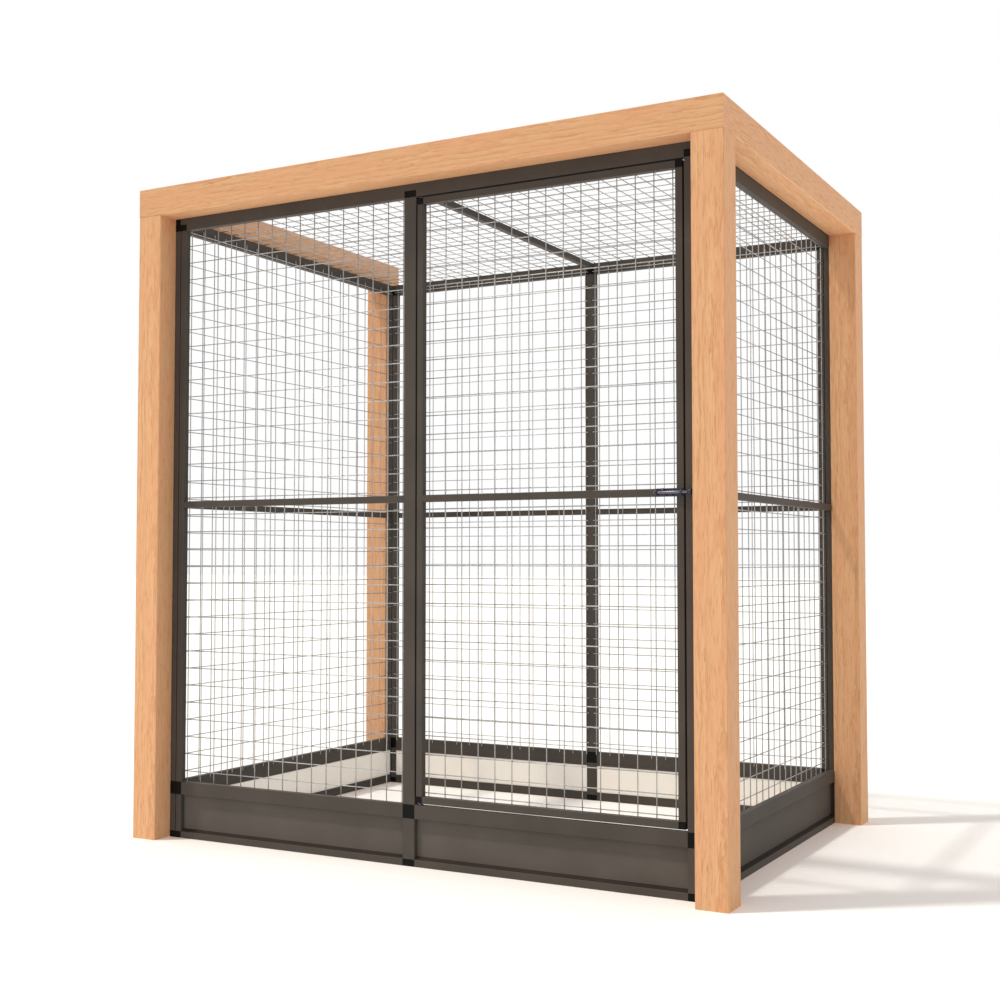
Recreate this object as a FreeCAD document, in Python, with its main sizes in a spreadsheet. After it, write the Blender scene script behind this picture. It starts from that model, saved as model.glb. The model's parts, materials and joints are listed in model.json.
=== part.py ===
import FreeCAD, Part
import os
import Sketcher

# A walk-in cat run: a mesh cage of aluminium tube standing inside a timber frame of four posts
# and three beams. Millimetres. X runs along the front, Y into the depth and Z up; the origin lies
# on the ground under the middle of the timber frame. The door fills the right half of the front.

# Driving dimensions
SIZES = {
    # Timber frame, over the outside of the posts and beams
    "run_width": 1966,
    "run_depth": 1390,
    "run_height": 2060,
    "post_side": 90,
    "beam_height": 90,
    "timber_chamfer": 2,
    # Cage of grooved upright, wide tube (width by depth) and square tube (depth by depth)
    "front_setback": 70,
    "back_setback": 58,
    "upright_width": 45,
    "profile_width": 40,
    "profile_depth": 20,
    "profile_wall": 2,
    "profile_chamfer": 0.8,
    "groove_width": 3,
    "groove_depth": 4,
    "lip_height": 5,
    "kick_top": 175,
    "board_thickness": 4,
    "bead_height": 10,
    "bead_thickness": 2,
    "mid_height": 1050,
    # Moulded connectors between the tubes
    "spigot_length": 30,
    "spigot_play": 0.2,
    # Welded mesh; the sheets are drawn with every second wire
    "wire_size": 3,
    "mesh_cell": 108,
    "mesh_lap": 12,
    "roof_lap": 7,
    "mesh_clearance": 1,
    # Door and its two pivots
    "door_gap": 5,
    "pivot_radius": 4,
    "pivot_play": 0.05,
    "pivot_reach": 16,
    "collar_radius": 7,
    "collar_play": 0.2,
    "bush_radius": 6,
    "bush_length": 12,
    "bush_play": 0.1,
    "flange_radius": 8,
    "flange_height": 2,
    # Slide bolt on the door, and its keeper on the upright
    "latch_length": 76,
    "latch_height": 22,
    "latch_plate": 2,
    "latch_margin": 1,
    "guide_width": 6,
    "guide_wall": 2.5,
    "rod_radius": 4,
    "rod_standoff": 6.5,
    "rod_length": 95,
    "rod_tip": 14,
    "rod_play": 0.06,
    "knob_back": 69,
    "knob_height": 8,
    "knob_stem_radius": 2.5,
    "knob_radius": 3.6,
    "keeper_length": 37,
    "keeper_margin": 2,
    "keeper_gap": 1.5,
    "keeper_loop": 10,
    "keeper_play": 0.5,
    # Screws: small ones for the latch, long ones for the timber
    "screw_play": 0.1,
    "latch_screw_radius": 1.6,
    "latch_screw_bite": 8,
    "latch_head_radius": 3,
    "latch_head_height": 1.4,
    "latch_screw_rise": 6,
    "latch_screw_inset": 27,
    "latch_screw_spacing": 20,
    "keeper_screw_inset": 8,
    "post_screw_radius": 2.5,
    "post_screw_bite": 45,
    "post_head_radius": 4.5,
    "post_head_height": 2.4,
    "post_screw_inset": 250,
    "beam_screw_radius": 4,
    "beam_screw_bite": 80,
    "beam_head_radius": 8,
    "beam_head_height": 5,
    "beam_screw_offset": 20,
}

doc = FreeCAD.newDocument("cat_run")
sheet = doc.addObject("Spreadsheet::Sheet", "dims")
for row, (alias, number) in enumerate(SIZES.items(), start=1):
    sheet.set(f"A{row}", str(number))
    sheet.setAlias(f"A{row}", alias)
doc.recompute()

# Lengths that many pieces share, as formulas of the sheet
WIDE = "dims.profile_width"
DEEP = "dims.profile_depth"
WALL = "dims.profile_wall"
MID = "dims.mid_height"
HALF_WIDTH = "dims.run_width / 2"
HALF_DEPTH = "dims.run_depth / 2"
SIDE = "(dims.run_width / 2 - dims.post_side)"
JAMB = "(dims.run_width / 2 - dims.post_side - dims.upright_width)"
FACE = "(dims.run_depth / 2 - dims.front_setback)"
BACK = "(dims.run_depth / 2 - dims.back_setback)"
TOP = "(dims.run_height - dims.beam_height)"

# Spans, each a low and a high end: through the right side wall, the front wall and the back wall
SIDE_WALL = (f"{SIDE} - {DEEP}", SIDE)
FRONT_WALL = (f"-{FACE}", f"{DEEP} - {FACE}")
BACK_WALL = (f"{BACK} - {DEEP}", BACK)
WALL_AT = {-1: FRONT_WALL, 1: BACK_WALL}
# Across a right corner upright, and across its outer chamber
UPRIGHT = (JAMB, SIDE)
CHAMBER = (f"{SIDE} - dims.upright_width / 2 + dims.groove_width / 2", SIDE)
# Spans along the walls: a half front or back bay, the front or back top rail, and a side
HALF_BAY = (f"{WIDE} / 2", JAMB)
FACE_RING = (f"-({SIDE} - {DEEP})", f"{SIDE} - {DEEP}")
SIDE_BAY = (FRONT_WALL[1], BACK_WALL[0])
MULLION = (f"-{WIDE} / 2", f"{WIDE} / 2")
ROOF_RAIL = (f"-{DEEP} / 2", f"{DEEP} / 2")
# Spans up the walls
FOOT = ("0", DEEP)
BOARD = (DEEP, f"dims.kick_top - {WIDE}")
KICK_RAIL = (f"dims.kick_top - {WIDE}", "dims.kick_top")
OPENING = ("dims.kick_top", f"{TOP} - {WIDE}")
MID_RAIL = (f"{MID} - {DEEP} / 2", f"{MID} + {DEEP} / 2")
HEAD_BLOCK = (f"{TOP} - {WIDE}", f"{TOP} - {DEEP}")
RING = (f"{TOP} - {DEEP}", TOP)
TOP_RAIL = (f"{TOP} - {WIDE}", TOP)
# Door, its pivot and its bolt
DOOR_X = (f"{WIDE} / 2 + dims.door_gap", f"{JAMB} - dims.door_gap")
DOOR_Z = ("dims.kick_top + dims.door_gap", f"{TOP} - {WIDE} - dims.door_gap")
PIVOT_X = f"{WIDE} / 2 + dims.door_gap + {DEEP} / 2"
PIVOT_Y = f"{DEEP} / 2 - {FACE}"
LATCH_END = f"{DOOR_X[1]} - dims.latch_margin"
LATCH_X = (f"{LATCH_END} - dims.latch_length", LATCH_END)
LATCH_Y = (f"-{FACE} - dims.latch_plate", f"-{FACE}")
LATCH_Z = (f"{MID} - dims.latch_height / 2", f"{MID} + dims.latch_height / 2")
ROD_Y = f"-{FACE} - dims.latch_plate - dims.rod_standoff"
ROD_END = f"{DOOR_X[1]} + dims.rod_tip"
KEEPER_START = f"{JAMB} + dims.keeper_margin"
KEEPER_X = (KEEPER_START, f"{KEEPER_START} + dims.keeper_length")

CORNERS = (
    ("front_left", -1, -1),
    ("front_right", 1, -1),
    ("back_right", 1, 1),
    ("back_left", -1, 1),
)
SIDES = (("left", -1), ("right", 1))
FACES = (("front", -1), ("back", 1))
PLANES = {"x": "YZ_Plane", "y": "XZ_Plane", "z": "XY_Plane"}
TURN_TO = {
    "x": FreeCAD.Rotation(FreeCAD.Vector(0, 1, 0), 90),
    "y": FreeCAD.Rotation(FreeCAD.Vector(1, 0, 0), -90),
    "z": FreeCAD.Rotation(),
}
nodes = []


def value(formula):
    """The number that a formula of the sheet stands for."""
    return float(sheet.evalExpression(formula))


def mirrored(span, sign):
    """The span itself, or its mirror image on the negative side."""
    low, high = span
    return span if sign > 0 else (f"-({high})", f"-({low})")


def inner(span):
    """The span that a spigot takes inside a tube."""
    low, high = span
    return (f"{low} + {WALL} + dims.spigot_play", f"{high} - {WALL} - dims.spigot_play")


def hollow(span):
    """The span of a tube's bore."""
    low, high = span
    return (f"{low} + {WALL}", f"{high} - {WALL}")


def around(centre, reach):
    """The span that reaches equally to both sides of a centre."""
    return (f"{centre} - {reach}", f"{centre} + {reach}")


def length(span):
    low, high = span
    return f"({high}) - ({low})"


def node(item):
    nodes.append(item)
    return item


def place(item, x, y, z):
    for axis, formula in zip("xyz", (x, y, z)):
        item.setExpression(f"Placement.Base.{axis}", formula)


def draw_loop(sketch, points):
    """Draw a closed loop of straight lines whose corners are bound to formulas."""
    first = sketch.GeometryCount
    count = len(points)
    spots = [FreeCAD.Vector(value(u), value(v), 0) for u, v in points]
    lines = [Part.LineSegment(spots[i], spots[(i + 1) % count]) for i in range(count)]
    sketch.addGeometry(lines, False)
    rules = []
    bound = []
    start = sketch.ConstraintCount
    for i, (u, v) in enumerate(points):
        rules.append(Sketcher.Constraint("Coincident", first + i, 2, first + (i + 1) % count, 1))
        for kind, axis, formula in (("DistanceX", -2, u), ("DistanceY", -1, v)):
            if formula == "0":
                rules.append(Sketcher.Constraint("PointOnObject", first + i, 1, axis))
            else:
                bound.append((start + len(rules), formula))
                rules.append(Sketcher.Constraint(kind, -1, 1, first + i, 1, value(formula)))
    sketch.addConstraint(rules)
    for index, formula in bound:
        sketch.setExpression(f"Constraints[{index}]", formula)


def sketch_on(body, plane, name, loops):
    sketch = body.newObject("Sketcher::SketchObject", name)
    support = next(item for item in body.Origin.OriginFeatures if item.Role == plane)
    sketch.AttachmentSupport = [(support, "")]
    sketch.MapMode = "FlatFace"
    for points in loops:
        draw_loop(sketch, points)
    return sketch


def rectangle(low_u, low_v, high_u, high_v):
    return [(low_u, low_v), (high_u, low_v), (high_u, high_v), (low_u, high_v)]


def chamfered(width, height, cut_off):
    """A rectangle from the origin with its four corners cut off."""
    return [
        (cut_off, "0"),
        (f"{width} - {cut_off}", "0"),
        (width, cut_off),
        (width, f"{height} - {cut_off}"),
        (f"{width} - {cut_off}", height),
        (cut_off, height),
        ("0", f"{height} - {cut_off}"),
        ("0", cut_off),
    ]


def extrusion(label, axis, spans, loops):
    """A section, drawn from its low corner, drawn out along one axis over its span."""
    body = doc.addObject("PartDesign::Body", label)
    sketch = sketch_on(body, PLANES[axis], f"{label}_section", loops)
    pad = body.newObject("PartDesign::Pad", f"{label}_length")
    pad.Profile = sketch
    pad.Reversed = axis == "y"
    pad.setExpression("Length", length(spans["xyz".index(axis)]))
    place(body, *(span[0] for span in spans))
    return body


def section_sizes(axis, spans):
    return [f"({length(span)})" for name, span in zip("xyz", spans) if name != axis]


def tube(label, axis, *spans):
    """A rectangular aluminium tube, open at both ends."""
    width, height = section_sizes(axis, spans)
    bore = rectangle(WALL, WALL, f"{width} - {WALL}", f"{height} - {WALL}")
    outside = chamfered(width, height, "dims.profile_chamfer")
    return extrusion(label, axis, spans, [outside, bore])


def timber(label, axis, *spans):
    """A planed timber with its long edges broken."""
    width, height = section_sizes(axis, spans)
    return extrusion(label, axis, spans, [chamfered(width, height, "dims.timber_chamfer")])


def grooved_upright(label, sign_x, sign_y, rise):
    """A wide tube of two chambers, with a groove down the middle of its front and of its back."""
    edge, sunk = "dims.profile_chamfer", "dims.groove_depth"
    wide = "dims.upright_width"
    groove = around(f"{wide} / 2", "dims.groove_width / 2")
    outside = [
        (edge, "0"),
        (groove[0], "0"),
        (groove[0], sunk),
        (groove[1], sunk),
        (groove[1], "0"),
        (f"{wide} - {edge}", "0"),
        (wide, edge),
        (wide, f"{DEEP} - {edge}"),
        (f"{wide} - {edge}", DEEP),
        (groove[1], DEEP),
        (groove[1], f"{DEEP} - {sunk}"),
        (groove[0], f"{DEEP} - {sunk}"),
        (groove[0], DEEP),
        (edge, DEEP),
        ("0", f"{DEEP} - {edge}"),
        ("0", edge),
    ]
    chambers = [
        rectangle(low, WALL, high, f"{DEEP} - {WALL}")
        for low, high in (hollow(("0", groove[0])), hollow((groove[1], wide)))
    ]
    spans = (mirrored(UPRIGHT, sign_x), WALL_AT[sign_y], rise)
    return extrusion(label, "z", spans, [outside, *chambers])


def box(label, x, y, z):
    item = doc.addObject("Part::Box", label)
    for side, span in zip(("Length", "Width", "Height"), (x, y, z)):
        item.setExpression(side, length(span))
    place(item, x[0], y[0], z[0])
    return item


def rod(label, axis, x, y, z, radius):
    """A round bar along one axis: that axis has a span, the other two a place."""
    at = {"x": x, "y": y, "z": z}
    low, high = at[axis]
    at[axis] = low
    item = doc.addObject("Part::Cylinder", label)
    item.setExpression("Radius", radius)
    item.setExpression("Height", length((low, high)))
    item.Placement.Rotation = TURN_TO[axis]
    place(item, at["x"], at["y"], at["z"])
    return item


def fused(label, pieces):
    item = doc.addObject("Part::MultiFuse", label)
    item.Shapes = pieces
    item.Refine = True
    return item


def group(label, pieces):
    item = doc.addObject("Part::Compound", label)
    item.Links = pieces
    return item


def without(label, base, tools):
    """The base with the space of every tool taken out of it."""
    item = doc.addObject("Part::Cut", label)
    item.Base = base
    item.Tool = tools[0] if len(tools) == 1 else group(f"{label}_holes", tools)
    return item


# Places of the timber screws
POST_X = f"({HALF_WIDTH} - dims.post_side / 2)"
POST_Y = f"({HALF_DEPTH} - dims.post_side / 2)"
UPRIGHT_SCREWS = (
    ("low", "dims.kick_top + dims.post_screw_inset"),
    ("high", f"{TOP} - {WIDE} - dims.post_screw_inset"),
)


def upright_screw_at(sign_y):
    return f"{WALL_AT[sign_y][0]} + {DEEP} / 2"


def beam_screw_at(sign_x, sign_y, which):
    """Two screws a post, set on the diagonal that crosses the mitre."""
    side = "-" if which == "inner" else "+"
    x = f"{sign_x} * ({POST_X} {side} dims.beam_screw_offset)"
    y = f"{sign_y} * {POST_Y} {side} dims.beam_screw_offset"
    return x, y


def make_posts():
    post_span = (f"{HALF_WIDTH} - dims.post_side", HALF_WIDTH)
    depth_span = (f"{HALF_DEPTH} - dims.post_side", HALF_DEPTH)
    upright_hole = (f"{SIDE} - {WALL}", f"{SIDE} + dims.post_screw_bite + dims.screw_play")
    beam_hole = (f"{TOP} - dims.beam_screw_bite - dims.screw_play", f"{TOP} + {WALL}")
    for name, sign_x, sign_y in CORNERS:
        label = f"post_{name}"
        spans = (mirrored(post_span, sign_x), mirrored(depth_span, sign_y), ("0", TOP))
        blank = timber(f"{label}_blank", "z", *spans)
        holes = [
            rod(f"{label}_{level}_hole", "x", mirrored(upright_hole, sign_x), upright_screw_at(sign_y),
                height, "dims.post_screw_radius + dims.screw_play")
            for level, height in UPRIGHT_SCREWS
        ]
        for which in ("inner", "outer"):
            x, y = beam_screw_at(sign_x, sign_y, which)
            holes.append(rod(f"{label}_{which}_hole", "z", x, y, beam_hole,
                             "dims.beam_screw_radius + dims.screw_play"))
        node(without(label, blank, holes))


def mitre(body, name, points):
    """Cut a beam's end off along the diagonal, right through its height."""
    sketch = sketch_on(body, "XY_Plane", f"{name}_outline", [points])
    pocket = body.newObject("PartDesign::Pocket", name)
    pocket.Profile = sketch
    pocket.Type = "ThroughAll"
    pocket.Midplane = True


def beam_holes(label, places):
    """Counterbored holes for the screws that come down from the top of a beam."""
    high = "dims.run_height"
    head = (f"{high} - dims.beam_head_height", f"{high} + {WALL}")
    shank = (f"{TOP} - {WALL}", f"{high} - dims.beam_head_height")
    holes = []
    for index, (x, y) in enumerate(places):
        holes.append(rod(f"{label}_head_{index}", "z", x, y, head,
                         "dims.beam_head_radius + dims.screw_play"))
        holes.append(rod(f"{label}_shank_{index}", "z", x, y, shank,
                         "dims.beam_screw_radius + dims.screw_play"))
    return holes


def make_beams():
    post = "dims.post_side"
    rise = (TOP, "dims.run_height")
    across = (f"-{HALF_WIDTH}", HALF_WIDTH)
    deep = (f"-{HALF_DEPTH}", HALF_DEPTH)
    front_depth = mirrored((f"{HALF_DEPTH} - {post}", HALF_DEPTH), -1)
    front = timber("beam_front_blank", "x", across, front_depth, rise)
    wide = "dims.run_width"
    mitre(front, "beam_front_left_mitre", [("0", "0"), (post, post), ("0", post)])
    mitre(front, "beam_front_right_mitre", [(wide, "0"), (wide, post), (f"{wide} - {post}", post)])
    places = [beam_screw_at(sign, -1, "inner") for _, sign in SIDES]
    node(without("beam_front", front, beam_holes("beam_front", places)))
    ends = {-1: [("0", "0"), (post, "0"), (post, post)], 1: [("0", "0"), (post, "0"), ("0", post)]}
    for name, sign in SIDES:
        label = f"beam_{name}"
        side_span = mirrored((f"{HALF_WIDTH} - {post}", HALF_WIDTH), sign)
        blank = timber(f"{label}_blank", "y", side_span, deep, rise)
        mitre(blank, f"{label}_mitre", ends[sign])
        places = [
            beam_screw_at(sign, -1, "outer"),
            beam_screw_at(sign, 1, "inner"),
            beam_screw_at(sign, 1, "outer"),
        ]
        node(without(label, blank, beam_holes(label, places)))


def make_timber_screws():
    """Screws from the uprights into the posts, and from the beams' tops into the posts."""
    upright_screws = []
    beam_screws = []
    high = "dims.run_height"
    for name, sign_x, sign_y in CORNERS:
        head = mirrored((f"{JAMB} - dims.post_head_height", JAMB), sign_x)
        shank = mirrored((JAMB, f"{SIDE} + dims.post_screw_bite"), sign_x)
        y = upright_screw_at(sign_y)
        for level, height in UPRIGHT_SCREWS:
            label = f"upright_screw_{name}_{level}"
            upright_screws.append(fused(label, [
                rod(f"{label}_head", "x", head, y, height, "dims.post_head_radius"),
                rod(f"{label}_shank", "x", shank, y, height, "dims.post_screw_radius"),
            ]))
        for which in ("inner", "outer"):
            label = f"beam_screw_{name}_{which}"
            x, y_beam = beam_screw_at(sign_x, sign_y, which)
            seat_z = f"{high} - dims.beam_head_height"
            tip = f"{TOP} - dims.beam_screw_bite"
            beam_screws.append(fused(label, [
                rod(f"{label}_head", "z", x, y_beam, (seat_z, high), "dims.beam_head_radius"),
                rod(f"{label}_shank", "z", x, y_beam, (tip, seat_z), "dims.beam_screw_radius"),
            ]))
    node(group("upright_screws", upright_screws))
    node(group("beam_screws", beam_screws))


def make_uprights():
    """Corner uprights and mullions, each a short length at the kick board and a long one above."""
    hole = (f"{JAMB} - {WALL}", f"{SIDE} + {WALL}")
    for name, sign_x, sign_y in CORNERS:
        label = f"upright_{name}"
        blank = grooved_upright(f"{label}_blank", sign_x, sign_y, OPENING)
        holes = [
            rod(f"{label}_{level}_hole", "x", mirrored(hole, sign_x), upright_screw_at(sign_y), height,
                "dims.post_screw_radius + dims.screw_play")
            for level, height in UPRIGHT_SCREWS
        ]
        if name == "front_right":
            holes += screw_holes("keeper", KEEPER_SCREWS)
        node(without(label, blank, holes))
    node(group("kick_uprights", [
        grooved_upright(f"kick_upright_{name}", sign_x, sign_y, BOARD)
        for name, sign_x, sign_y in CORNERS
    ]))
    for name, sign in FACES:
        node(tube(f"mullion_{name}", "z", MULLION, WALL_AT[sign], OPENING))
    node(group("kick_mullions", [
        tube(f"kick_mullion_{name}", "z", MULLION, WALL_AT[sign], BOARD)
        for name, sign in FACES
    ]))


def make_top_rails():
    """The roof ring: notched rails front and back, lipped rails beside the beams, one rail across."""
    notch = (JAMB, f"{SIDE} - {DEEP}")
    windows = {-1: around(FRONT_WALL[1], WALL), 1: around(BACK_WALL[0], WALL)}
    for name, sign in FACES:
        label = f"top_rail_{name}"
        depth = WALL_AT[sign]
        blank = tube(f"{label}_blank", "x", FACE_RING, depth, TOP_RAIL)
        cuts = [
            box(f"{label}_notch_{side}", mirrored(notch, sign_x), depth, HEAD_BLOCK)
            for side, sign_x in SIDES
        ]
        cuts.append(box(f"{label}_notch_middle", MULLION, depth, HEAD_BLOCK))
        cuts.append(box(f"{label}_window", hollow(ROOF_RAIL), windows[sign], hollow(RING)))
        if name == "front":
            cuts.append(bush_hole("top_bush_hole", TOP_RAIL[0]))
        node(without(label, blank, cuts))
    for name, sign in SIDES:
        label = f"top_rail_{name}"
        blank = tube(f"{label}_blank", "y", mirrored(SIDE_WALL, sign), SIDE_BAY, TOP_RAIL)
        lip_x = mirrored((f"{SIDE} - {WALL}", SIDE), sign)
        lip = box(f"{label}_lip", lip_x, SIDE_BAY, (f"{TOP} - {WALL}", f"{TOP} + dims.lip_height"))
        node(fused(label, [blank, lip]))
    node(tube("roof_rail", "y", ROOF_RAIL, SIDE_BAY, RING))
    reach = {
        "front": (inner(FRONT_WALL)[0], f"{FRONT_WALL[1]} + dims.spigot_length"),
        "back": (f"{BACK_WALL[0]} - dims.spigot_length", inner(BACK_WALL)[1]),
    }
    node(group("roof_rail_spigots", [
        box(f"roof_rail_spigot_{name}", inner(ROOF_RAIL), depth, inner(RING))
        for name, depth in reach.items()
    ]))


def make_wall_rails():
    """Kick rails, bottom rails and mid rails of the four walls."""
    left_bay = mirrored(HALF_BAY, -1)
    node(tube("kick_rail_front_left", "x", left_bay, FRONT_WALL, KICK_RAIL))
    blank = tube("kick_rail_front_right_blank", "x", HALF_BAY, FRONT_WALL, KICK_RAIL)
    node(without("kick_rail_front_right", blank, [bush_hole("kick_bush_hole", "dims.kick_top")]))
    node(tube("mid_rail_front_left", "x", left_bay, FRONT_WALL, MID_RAIL))
    for kind, rise in (("kick_rail", KICK_RAIL), ("mid_rail", MID_RAIL)):
        node(group(f"{kind}s_back", [
            tube(f"{kind}_back_{name}", "x", mirrored(HALF_BAY, sign), BACK_WALL, rise)
            for name, sign in SIDES
        ]))
        node(group(f"{kind}s_side", [
            tube(f"{kind}_{name}", "y", mirrored(SIDE_WALL, sign), SIDE_BAY, rise)
            for name, sign in SIDES
        ]))
    bottom_rails = [
        tube(f"bottom_rail_{face}_{name}", "x", mirrored(HALF_BAY, sign), WALL_AT[sign_y], FOOT)
        for face, sign_y in FACES
        for name, sign in SIDES
    ]
    bottom_rails += [
        tube(f"bottom_rail_{name}", "y", mirrored(SIDE_WALL, sign), SIDE_BAY, FOOT)
        for name, sign in SIDES
    ]
    node(group("bottom_rails", bottom_rails))


def boarded(label, axis, bay, inside, outward):
    """A board along a wall, and the beads before its edges, flush with the wall's inner face."""
    bead = ordered(inside, "dims.bead_thickness", outward)
    sheet_depth = ordered(bead[1] if outward > 0 else bead[0], "dims.board_thickness", outward)
    rises = {
        "low": (BOARD[0], f"{BOARD[0]} + dims.bead_height"),
        "high": (f"{BOARD[1]} - dims.bead_height", BOARD[1]),
    }

    def piece(name, depth, rise):
        return box(name, bay, depth, rise) if axis == "x" else box(name, depth, bay, rise)

    board = piece(label, sheet_depth, BOARD)
    return board, [piece(f"{label}_{level}_bead", bead, rise) for level, rise in rises.items()]


def make_kick_boards():
    """Two boards at the front, two at the back and one at each side, with their beads."""
    boards = {}
    beads = []
    for name, sign in SIDES:
        bay = mirrored(HALF_BAY, sign)
        side_face = mirrored((SIDE_WALL[0], SIDE_WALL[0]), sign)[0]
        for label, axis, span, inside, outward in (
            (f"kick_board_front_{name}", "x", bay, FRONT_WALL[1], -1),
            (f"kick_board_back_{name}", "x", bay, BACK_WALL[0], 1),
            (f"kick_board_{name}", "y", SIDE_BAY, side_face, sign),
        ):
            boards[label], pair = boarded(label, axis, span, inside, outward)
            beads += pair
    for name, _ in SIDES:
        node(boards[f"kick_board_front_{name}"])
    node(group("kick_boards_back", [boards[f"kick_board_back_{name}"] for name, _ in SIDES]))
    node(group("kick_boards_side", [boards[f"kick_board_{name}"] for name, _ in SIDES]))
    node(group("kick_board_beads", beads))


def make_connectors():
    """Black moulded blocks that join the tubes: corners with two arms, and mullion pieces."""
    reach = "dims.spigot_length"
    levels = {"foot": FOOT, "kick": KICK_RAIL, "top": HEAD_BLOCK}
    blocks = {level: [] for level in levels}
    for name, sign_x, sign_y in CORNERS:
        side_wall, upright = mirrored(SIDE_WALL, sign_x), mirrored(UPRIGHT, sign_x)
        face_wall = WALL_AT[sign_y]
        core = inner(mirrored(CHAMBER, sign_x)), inner(face_wall)
        for level, rise in levels.items():
            label = f"{level}_corner_{name}"
            arm_x, rise_x, rise_y = UPRIGHT[0], inner(rise), inner(rise)
            pieces = [box(f"{label}_block", upright, face_wall, rise)]
            if level == "top":
                pieces.append(box(f"{label}_cube", side_wall, face_wall, RING))
                arm_x, rise_x, rise_y = SIDE_WALL[0], inner(RING), inner(TOP_RAIL)
            else:
                up = (rise[1], f"{rise[1]} + {reach}")
                pieces.append(box(f"{label}_up", *core, up))
            if level != "foot":
                down = (f"{rise[0]} - {reach}", rise[0])
                pieces.append(box(f"{label}_down", *core, down))
            along_x = mirrored((f"{arm_x} - {reach}", arm_x), sign_x)
            along_y = ordered(SIDE_BAY[0] if sign_y < 0 else SIDE_BAY[1], reach, -sign_y)
            pieces.append(box(f"{label}_along_x", along_x, inner(face_wall), rise_x))
            pieces.append(box(f"{label}_along_y", inner(side_wall), along_y, rise_y))
            blocks[level].append(fused(label, pieces))
    for name, sign_y in FACES:
        face_wall = WALL_AT[sign_y]
        for level, rise in levels.items():
            label = f"{level}_tee_{name}"
            pieces = [box(f"{label}_block", MULLION, face_wall, rise)]
            if level != "top":
                up = (rise[1], f"{rise[1]} + {reach}")
                pieces.append(box(f"{label}_up", inner(MULLION), inner(face_wall), up))
                for side, sign in SIDES:
                    along = mirrored((MULLION[1], f"{MULLION[1]} + {reach}"), sign)
                    pieces.append(box(f"{label}_{side}", along, inner(face_wall), inner(rise)))
            if level != "foot":
                down = (f"{rise[0]} - {reach}", rise[0])
                pieces.append(box(f"{label}_down", inner(MULLION), inner(face_wall), down))
            if (level, name) == ("kick", "front"):
                solid = fused(f"{label}_blank", pieces)
                blocks[level].append(without(label, solid, [bush_hole("tee_bush_hole", "dims.kick_top")]))
            else:
                blocks[level].append(fused(label, pieces))
    for level, solids in blocks.items():
        node(group(f"{level}_connectors", solids))


def wires(count, start, end):
    """The low edges of evenly spaced wires from one edge of a sheet to the other."""
    step = (end - start - value("dims.wire_size")) / count
    return [start + index * step for index in range(count + 1)]


def mesh_sheet(label, width, height, place_at, rotation):
    """One sheet of square welded mesh: a holed face given the thickness of the wire."""
    wire = value("dims.wire_size")
    wide, high = value(length(width)), value(length(height))
    cell = value("dims.mesh_cell")
    columns = wires(max(1, round(wide / cell)), 0, wide)
    rows = wires(max(1, round(high / cell)), 0, high)
    outlines = [loop(0, 0, wide, high)]
    for left, right in zip(columns, columns[1:]):
        for low, top in zip(rows, rows[1:]):
            outlines.append(loop(left + wire, low + wire, right, top))
    sheet_face = Part.makeFace(outlines, "Part::FaceMakerCheese")
    item = doc.addObject("Part::Feature", label)
    item.Shape = sheet_face.extrude(FreeCAD.Vector(0, 0, wire))
    item.Placement = FreeCAD.Placement(FreeCAD.Vector(*map(value, place_at)), rotation)
    return item


def loop(low_u, low_v, high_u, high_v):
    corners = [(low_u, low_v), (high_u, low_v), (high_u, high_v), (low_u, high_v), (low_u, low_v)]
    return Part.makePolygon([FreeCAD.Vector(u, v, 0) for u, v in corners])


def lapped(span, lap="dims.mesh_lap"):
    low, high = span
    return (f"{low} - {lap}", f"{high} + {lap}")


FACING_FRONT = FreeCAD.Rotation(FreeCAD.Vector(1, 0, 0), 90)
FACING_SIDE = FreeCAD.Rotation(FreeCAD.Vector(1, 1, 1), 120)
LYING = FreeCAD.Rotation()


def make_cage_mesh():
    """Sheets on the inner faces of the walls, and two on the roof ring, up to the front beam."""
    wire, clear = "dims.wire_size", "dims.mesh_clearance"
    rise = lapped(OPENING)
    behind = f"{FRONT_WALL[1]} + {wire}"
    left = lapped(mirrored(HALF_BAY, -1))
    node(mesh_sheet("mesh_front_left", left, rise, (left[0], behind, rise[0]), FACING_FRONT))
    for name, sign in SIDES:
        bay = lapped(mirrored(HALF_BAY, sign))
        node(mesh_sheet(f"mesh_back_{name}", bay, rise, (bay[0], BACK_WALL[0], rise[0]), FACING_FRONT))
    bay = (f"{SIDE_BAY[0]} + {clear}", f"{SIDE_BAY[1]} - {clear}")
    for name, sign in SIDES:
        low = mirrored((f"{SIDE} - {DEEP} - {wire}", f"{SIDE} - {DEEP}"), sign)[0]
        node(mesh_sheet(f"mesh_{name}", bay, rise, (low, bay[0], rise[0]), FACING_SIDE))
    depth = (f"dims.post_side - {HALF_DEPTH} + {clear}", lapped(SIDE_BAY)[1])
    for name, sign in SIDES:
        roof = (f"{DEEP} / 2 - dims.roof_lap", f"{SIDE} - {DEEP} + dims.mesh_lap")
        half = mirrored(roof, sign)
        node(mesh_sheet(f"mesh_roof_{name}", half, depth, (half[0], depth[0], TOP), LYING))


def bush_hole(label, seat):
    """The seat of a pivot bush, right through the tube wall or spigot beside it."""
    rise = around(seat, "dims.bush_length")
    return rod(label, "z", PIVOT_X, PIVOT_Y, rise, "dims.bush_radius + dims.bush_play")


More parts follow.
